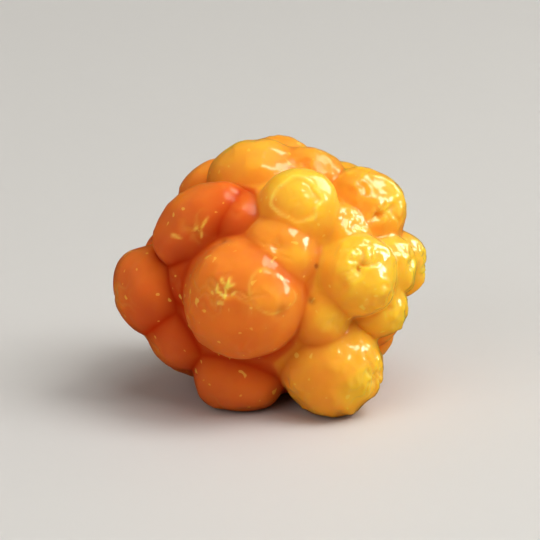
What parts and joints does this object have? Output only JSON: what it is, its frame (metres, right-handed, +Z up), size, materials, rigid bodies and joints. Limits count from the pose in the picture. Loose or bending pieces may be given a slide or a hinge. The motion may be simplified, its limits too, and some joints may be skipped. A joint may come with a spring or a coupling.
{
  "type": "cloudberry",
  "caption": "Picked ripe cloudberry: a knobbly amber berry of swollen shiny drupelets around a core, with a small hollow at the back where it came off the plant.",
  "frame": {"origin": "middle of the berry's own box, on the surface it rests on", "axes": "+Z up; -Y towards the blunt tip of the berry, the side seen in the picture; +Y towards the hollow where it came off the plant; +X to the right seen from the tip"},
  "size_m": [0.0188, 0.0174, 0.0157],
  "materials": {
    "ripe_skin": "wet glossy translucent fruit skin, golden yellow to deep orange"
  },
  "bodies": {
    "root": {"cloudberry": "ripe_skin"}
  },
  "joints": []
}
